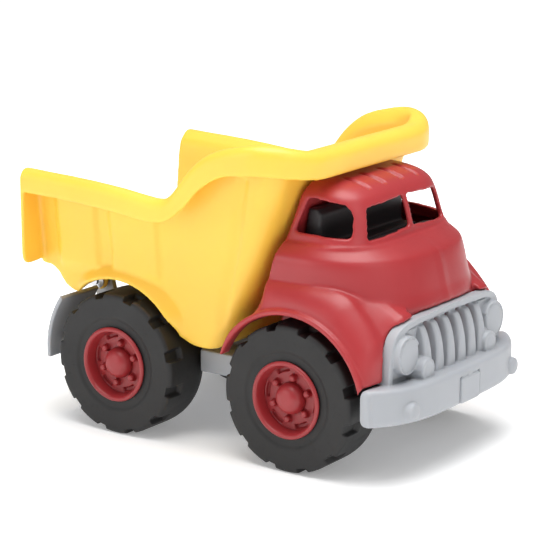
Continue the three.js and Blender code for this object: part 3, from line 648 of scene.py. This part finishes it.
def fender_tail():
    angle = np.linspace(98, 157.4, 40)
    a = np.radians(angle)
    r = ARCH_R + through([(98, 2.8), (150, 2.2), (157.4, 1.5)], angle)[:, 0]
    out = np.column_stack((AXLE_X + r * np.cos(a), AXLE_Z + r * np.sin(a)))
    back = np.column_stack((AXLE_X + ARCH_R * np.cos(a), AXLE_Z + ARCH_R * np.sin(a)))
    return prism("y", np.concatenate((out, back[::-1])), 67, 74.6)


SIDE_WINDOW = [(49.6, 129.8), (82.2, 128.2), (81.2, 140), (77.6, 145.6), (55.4, 148.6)]
PANE = [(1.7, 128.9), (39, 126.6), (35, 143.8), (1.7, 145.8)]


def roof_groove(y):
    outline = rounded([(63, y - 1.5), (76, y - 2.1), (80.2, y - 1.6),
                       (80.2, y + 1.6), (76, y + 2.1), (63, y + 1.5)], 2)
    floor = prism("y", [(60, 155.9), (70, 154.4), (80.4, 151.1), (84, 165), (60, 165)], -60, 60)
    return keep(prism("z", outline, 149, 160), floor)


def bumper_clearance():
    ys = np.concatenate((np.linspace(-90, -57, 12), np.linspace(-54, 54, 19), np.linspace(57, 90, 12)))
    return loft([bumper_ring(y, GAP + 0.1) for y in ys])


def cab_shell():
    body = stack(BODY, np.concatenate((np.arange(46, 112, 3), np.arange(112, 125.1, 0.65))), ridge=0.7)
    house = stack(HOUSE, np.arange(116, 157.31, 0.9))
    cab = add(body, house, *both(fender()))
    hollow_body = stack(BODY, np.arange(91, 122.3, 1.5), WALL)
    hollow_house = stack(HOUSE, np.arange(118, 151.4, 1.5), WALL)
    lower = block(20, 108.6, -34.4, 34.4, 40, 93)
    room = cut(add(hollow_body, hollow_house, lower), behind_cab(WALL))
    wells = both(disc("y", AXLE_X, AXLE_Z, ARCH_R, 37, 90, 120))
    windows = both(prism("y", rounded(SIDE_WINDOW, 2.4), 38, 70))
    windows += both(prism("x", rounded(PANE, 2.2), 78, 108))
    grooves = [roof_groove(y) for y in (-24.7, -9, 9, 24.7)]
    cab = cut(cab, room, *wells, behind_cab(0), grille_seat(), *windows, *grooves)
    cab = add(cab, *both(arch_lip()), *both(fender_tail()))
    cab = cut(cab, bumper_clearance(), block(-50, 150, -100, 100, 0, 51.7))
    moulded(cab, 0.75, 5, 0.3)
    finish_piece(cab, "cab_moulding", "chassis", "red_plastic", RED, "cab_shell")


# ---------- grille and bumper ----------
def bow(y, x0, drop=4.0, w=60.0):
    return x0 - drop * (np.asarray(y) / w) ** 2


def curved_plate(outline, front, back):
    o = np.array(outline, float)
    lo, hi = (np.column_stack((bow(o[:, 0], x), o)) for x in (back, front))
    return loft([lo, hi])


def grille_outline(d):
    half = [(59.6 - d, 50), (59.2 - d, 62), (57.6 - d, 73), (54.4 - d, 80.4 - d * 0.6),
            (48.6 - d * 0.7, 84.8 - d), (41 - d * 0.3, 86.8 - d), (33, 87.5 - d), (18, 88.4 - d),
            (0, 88.9 - d)]
    half = dense(half, 1.5)
    return np.concatenate((half, (half * (-1, 1))[::-1][1:]))


def grille_seat():
    o = grille_outline(-GAP - 0.3)
    o = np.where(o[:, 1:] < 51, np.column_stack((o[:, 0], np.full(len(o), 30.0))), o)
    return curved_plate(o, 140, 113.6 - GAP)


def fin(y):
    """Upright bar, broader and further forward at the bottom, with round edges."""
    side = dense([(115, 52), (122.4, 52.5), (123.3, 60), (123, 67), (121.9, 74), (120.2, 79), (118.2, 82),
                  (115, 83)], 1)
    setback = float(115 - bow(y, 115))
    rings = []
    for v, shrink in ((-1, 1.4), (-0.84, 0.5), (-0.58, 0.1), (0, 0), (0.58, 0.1), (0.84, 0.5), (1, 1.4)):
        x = np.where(side[:, 0] > 116, side[:, 0] - shrink, side[:, 0]) - setback
        half = 4.4 - 1.7 * smoothstep(54, 78, side[:, 1])
        rings.append(np.column_stack((x, y + v * half, side[:, 1])))
    return loft(rings)


BUMPER_FRONT = [
    (-1, 131.2), (0, 131.2), (30, 130.7), (44, 129.2), (56, 125.6), (65, 120.8), (71, 116.2), (74, 113.2),
    (92, 96),
]


def bumper_ring(y, d=0.0):
    front = value(BUMPER_FRONT, abs(y)) + d
    back = max(front - 15, min(front - 5, 107)) - 2 * d
    lo, hi = 34.4 - d, 55 + d
    corners = [(back, lo), (front, lo), (front, hi), (back, hi)]
    flat = rounded(corners, 3.6, 5) if front - back > 4 else np.array([corners[0]] * 24)
    return np.column_stack((flat[:, 0], np.full(len(flat), y), flat[:, 1]))


def bumper():
    half = list(np.linspace(0, 56, 20)) + list(np.linspace(58, 73, 13))
    rings = [bumper_ring(y) for y in half]
    for y, k in ((74.2, 0.94), (75, 0.82), (75.5, 0.62)):
        r = bumper_ring(73.4)
        middle = np.array((109.4, 0, 44.7))
        r = middle + (r - middle) * (k, 1, k)
        r[:, 1] = y
        rings.append(r)
    rings = [r * (1, -1, 1) for r in rings[:0:-1]] + rings
    return loft(rings)


def lamp(y, z, rows, n=48):
    """Round lamp facing forward; rows are (x, radius)."""
    return loft([np.insert(arc(y, z, r, 0, 360, n)[:-1], 0, x, axis=1) for x, r in rows])


def grille_bumper():
    plate = curved_plate(grille_outline(0), 117.2, 113.6)
    rim = cut(curved_plate(grille_outline(0), 119.8, 115), curved_plate(grille_outline(3.6), 125, 110))
    slots = []
    for y in (-23.2, -11.6, 0, 11.6, 23.2):
        slot = [(y - 0.9, 57), (y + 0.9, 57), (y + 2.9, 74), (y + 2.9, 83), (y - 2.9, 83), (y - 2.9, 74)]
        slots.append(prism("x", rounded(slot, 2.2), 105, 140))
    shorts = both(prism("x", rounded([(32.8, 66), (36.6, 66), (36.6, 74.2), (32.8, 74.2)], 1.2), 105, 140))
    fins = [fin(y) for y in (-29, -17.4, -5.8, 5.8, 17.4, 29)]
    back = keep(block(108, 118, -58, 58, 45, 60),
                curved_plate([(-59, 40), (59, 40), (59, 70), (-59, 70)], 117, 113.6))
    head = (45.8, 69.5)
    lens = lamp(*head, [(112.6, 10.8), (119.4, 10.7), (120, 10.4), (120.1, 9.9), (119, 9.6), (119, 9.1),
                        (120.1, 8.8), (120.6, 5), (120.8, 0.4)])
    lamp_bed = keep(block(110, 125, 33, 58, 57, 82), curved_plate(grille_outline(1.5), 118.4, 115))
    low = lamp(33.5, 59.6, [(113, 6.7), (123.8, 6.5), (124.7, 6.2), (125, 5.6), (124.9, 5.2), (123.8, 5),
                            (123.8, 4.4), (124.9, 4.3), (125.2, 3.6), (125.5, 0.4)])
    small = lamp(53.7, 41.4, [(118, 5.1), (128.2, 5), (129.1, 4.6), (129.4, 4), (130, 2), (130.1, 0.3)])
    outline = [(-9.8, 35.4), (9.8, 35.4), (9.8, 49.6), (-9.8, 49.6)]
    number_plate = prism("x", rounded(outline, 1.2), 128, 131.9)
    around_plate = rounded([(y * 1.12, 42.5 + (z - 42.5) * 1.17) for y, z in outline], 1.6)
    moat = cut(prism("x", around_plate, 129.6, 134), prism("x", rounded(outline, 1.2), 129, 135))
    tab = add(block(100, 120, 14, 26, 43.6, 46.6), block(114, 119, 14, 26, 43.6, 56))
    tab = cut(tab, disc("z", 104, 20, 1.5, 30, 60))
    front = add(bumper(), plate, rim, *fins, back, *both(lamp_bed), *both(lens), *both(low), *both(small),
                number_plate, *both(tab))
    room = [block(90, 113.2, -40, 40, 46.6, 53), *both(block(90, 113.2, 26.1, 40, 43, 47))]
    front = cut(front, moat, *slots, *shorts, *room)
    moulded(front, 0.5, 2, 0.25)
    finish_piece(front, "grille_bumper_moulding", "chassis", "grey_plastic", GREY, "grille_bumper")


# ---------- wheels ----------
TYRE_SECTION = [
    (20.3, 70.9), (20.3, 73.6), (21.3, 74.5), (24, 74.5), (26.2, 74.6), (27.3, 75.15), (28.4, 75.4),
    (38.4, 75.4), (39.8, 75.2), (40.7, 74.7), (41.2, 73.8), (TYRE_R, 72.4), (TYRE_R, 68.4), (TYRE_R, 62),
    (TYRE_R, 52), (41.2, 48),
    (40.4, 44.8), (38.8, 42), (36.6, 40.1), (34, 39.2), (30, 39), (24, 39.4), (20.3, 39.9),
]
NOTCH_HALF = math.degrees(3.25 / 40)


def notch_angles():
    pitch = 360 / NOTCHES
    half = [1.2, 2.4, *(NOTCH_HALF + v for v in (-1.0, -0.5, 0, 0.5, 1.0)), 7.5, 9.5, 11.5, 13.5]
    offsets = sorted([0, 15, *half, *(-v for v in half)])
    return np.array([pitch * (k + 0.5) + o for k in range(NOTCHES) for o in offsets])


def notch_shape(angle, r, y):
    pitch = 360 / NOTCHES
    off = abs(((angle - pitch / 2) + pitch / 2) % pitch - pitch / 2)
    inside = 1 - smoothstep(NOTCH_HALF - 0.9, NOTCH_HALF + 0.5, off)
    depth = smoothstep(TYRE_OUT - 12, TYRE_OUT - 10.6, y) * inside
    floor = np.minimum(r, 38.5)
    return r + (floor - r) * depth, y


def tyre(x, side, name):
    outer = dense(TYRE_SECTION, 0.75)
    inner = [(20.3, 43.5), (33.6, 45), (36.8, 50), (36.8, 64), (33.6, 69.2), (20.3, 69.4)]
    profile = np.concatenate((outer, inner))
    ob = turned(profile, x, AXLE_Z, 0, side, angles=notch_angles(), shape=notch_shape)
    end, hand = name
    finish_piece(ob, f"tyre_moulding_{end}_{hand}", f"wheel_{end}_{hand}", "tyre_plastic", TYRE,
                 f"tyre_{end}_{hand}")


RIM_FACE = [
    (2.4, WEB_OUT), (8, WEB_OUT), (12, WEB_OUT), *((r, WEB_OUT) for r in np.linspace(13.8, 18.0, 15)),
    (17.8, WEB_OUT + 0.4), (18.15, WEB_OUT + 1.2), (18.4, WEB_OUT + 3),
    (18.8, 74.2), (19.1, 75.7), (19.5, 76.5), (20.2, 76.95), (20.9, 76.9), (21.5, 76.5), (21.85, 75.9),
    (21.8, 75.3), (21.2, 75.0), (19.9, 74.8), (19.9, 41.2), (17.9, 41.2), (17.4, 66.2), (6.2, 66.2),
    (5.6, 39.8), (2.4, 39.8),
]


def slot_shape(angle, r, y):
    pitch = 360 / LUGS
    off = abs(((angle - 52) + pitch / 2) % pitch - pitch / 2)
    along = 1 - smoothstep(13.2, 15.2, off)
    across = smoothstep(14.7, 15.4, r) * (1 - smoothstep(17.1, 17.7, r))
    front = (np.abs(y - WEB_OUT) < 0.45)
    return r, y - 2.2 * along * across * front


def rim(x, side, name):
    ob = turned(RIM_FACE, x, AXLE_Z, 180, side, shape=slot_shape)
    lugs = []
    for i in range(LUGS):
        a = math.radians(60 * i + 22)
        peg = dense([(2.5, WEB_OUT - 1), (2.35, WEB_OUT + 0.1), (2.05, WEB_OUT + 0.6), (1.95, WEB_OUT + 2.4),
                     (1.7, WEB_OUT + 3.1), (1.1, WEB_OUT + 3.5), (0, WEB_OUT + 3.6)], 0.3)
        lug = turned(np.concatenate(([(0, WEB_OUT - 1)], peg)), x + LUG_CIRCLE * math.cos(a),
                     AXLE_Z + LUG_CIRCLE * math.sin(a), 20, side, closed=False)
        lugs.append(lug)
    add(ob, *lugs)
    end, hand = name
    finish_piece(ob, f"rim_moulding_{end}_{hand}", f"wheel_{end}_{hand}", "dark_red_plastic", RIM_RED,
                 f"rim_{end}_{hand}")


def hub_cap(x, side, name):
    base = WEB_OUT + GAP
    dome = [(0, base + 5.2), (3.4, base + 5), (6.4, base + 3.2), (7.2, base), (8.6, base), (9.05, base + 0.4),
            (8.9, base + 1.4), (8.2, base + 3.4), (7.1, base + 5), (5.4, base + 6.3), (3.4, base + 6.95),
            (1.5, base + 7.15), (0, base + 7.15)]
    ob = turned(dense(dome, 0.5), x, AXLE_Z, 64, side, closed=False)
    end, hand = name
    finish_piece(ob, f"hub_cap_moulding_{end}_{hand}", f"wheel_{end}_{hand}", "dark_red_plastic", RIM_RED,
                 f"hub_cap_{end}_{hand}")


# ---------- pieces that keep their CAD shape, with moulded edges ----------
def softened(node, name, body, slot, material, voxel, steps, ratio):
    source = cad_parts[node]
    ob = bpy.data.objects.new(name, source.data.copy())
    scene.collection.objects.link(ob)
    ob.data.transform(TO_ROW.inverted())
    moulded(ob, voxel, steps, ratio)
    finish_piece(ob, name, body, slot, material, node)


dump_bed()
cab_shell()
grille_bumper()
softened("chassis_frame", "chassis_moulding", "chassis", "grey_plastic", GREY, 0.7, 3, 0.3)
softened("cab_liner", "cab_liner_moulding", "chassis", "black_plastic", BLACK, 0.7, 4, 0.3)
for end, x in (("front", AXLE_X), ("rear", -AXLE_X)):
    for hand, side in (("left", 1), ("right", -1)):
        tyre(x, side, (end, hand))
        rim(x, side, (end, hand))
        hub_cap(x, side, (end, hand))
for name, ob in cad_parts.items():
    if any(word in name for word in ("axle", "rod", "nut", "screw")):
        ob.data.materials.clear()
        ob.data.materials.append(STEEL)


# ---------- floor, light and camera ----------
def stage():
    """Plain pale floor with painted glow: the floor gives off light, a little more away from the truck, so
    that it meets the backdrop.
    """
    size = 6.0
    floor = bpy.data.meshes.new("floor")
    corners = [(-size, -size, 0), (size, -size, 0), (size, size, 0), (-size, size, 0)]
    floor.from_pydata(corners, [], [(0, 1, 2, 3)])
    ob = bpy.data.objects.new("floor", floor)
    scene.collection.objects.link(ob)
    mat = bpy.data.materials.new("pale_floor")
    mat.use_nodes = True
    bsdf = mat.node_tree.nodes["Principled BSDF"]
    bsdf.inputs["Base Color"].default_value = (0.9, 0.9, 0.9, 1)
    bsdf.inputs["Roughness"].default_value = 0.8
    # painted glow: the floor emits white light of its own, weakest by the truck and strongest away from it
    bsdf.inputs["Emission Color"].default_value = (1, 1, 1, 1)
    nt = mat.node_tree
    where = nt.nodes.new("ShaderNodeTexCoord")
    reach = nt.nodes.new("ShaderNodeVectorMath")
    reach.operation = "LENGTH"
    painted_glow = nt.nodes.new("ShaderNodeMapRange")
    for key, v in (("From Min", 0.1), ("From Max", 0.5), ("To Min", 0.22), ("To Max", 0.75)):
        painted_glow.inputs[key].default_value = v
    nt.links.new(where.outputs["Object"], reach.inputs[0])
    nt.links.new(reach.outputs["Value"], painted_glow.inputs["Value"])
    nt.links.new(painted_glow.outputs["Result"], bsdf.inputs["Emission Strength"])
    floor.materials.append(mat)


def area_light(name, place, target, size, power):
    data = bpy.data.lights.new(name, "AREA")
    data.shape, data.size, data.size_y, data.energy = "RECTANGLE", size[0], size[1], power
    ob = bpy.data.objects.new(name, data)
    ob.location = place
    ob.rotation_euler = (Vector(target) - Vector(place)).to_track_quat("-Z", "Y").to_euler()
    scene.collection.objects.link(ob)


def studio_world():
    """White backdrop for the camera, dimmer even light on the truck."""
    world = bpy.data.worlds.new("studio")
    world.use_nodes = True
    nt = world.node_tree
    seen = nt.nodes.new("ShaderNodeLightPath")
    level = nt.nodes.new("ShaderNodeMapRange")
    level.inputs["To Min"].default_value = 0.27
    level.inputs["To Max"].default_value = 1.0
    nt.links.new(seen.outputs["Is Camera Ray"], level.inputs["Value"])
    nt.links.new(level.outputs["Result"], nt.nodes["Background"].inputs["Strength"])
    nt.nodes["Background"].inputs["Color"].default_value = (1, 1, 1, 1)
    scene.world = world


def light_and_camera():
    studio_world()
    area_light("overhead", (0.15, -0.1, 1.5), (0, 0, 0.05), (1.2, 1.2), 27)
    area_light("front_right", (1.5, -0.55, 0.95), (0, 0, 0.08), (0.9, 0.9), 4)
    area_light("side_fill", (-0.7, -1.4, 0.6), (0, 0, 0.08), (1.1, 0.8), 6)
    scene.view_settings.view_transform = "Standard"
    cam = bpy.data.cameras.new("camera")
    cam.lens, cam.sensor_width = 143.3, 36
    cam.clip_start, cam.clip_end = 0.05, 50
    ob = bpy.data.objects.new("camera", cam)
    place, target = Vector((0.6902, -0.9902, 0.3890)), Vector((-0.0087, 0, 0.0899))
    ob.location = place
    ob.rotation_euler = (target - place).to_track_quat("-Z", "Y").to_euler()
    scene.collection.objects.link(ob)
    scene.camera = ob


stage()
light_and_camera()
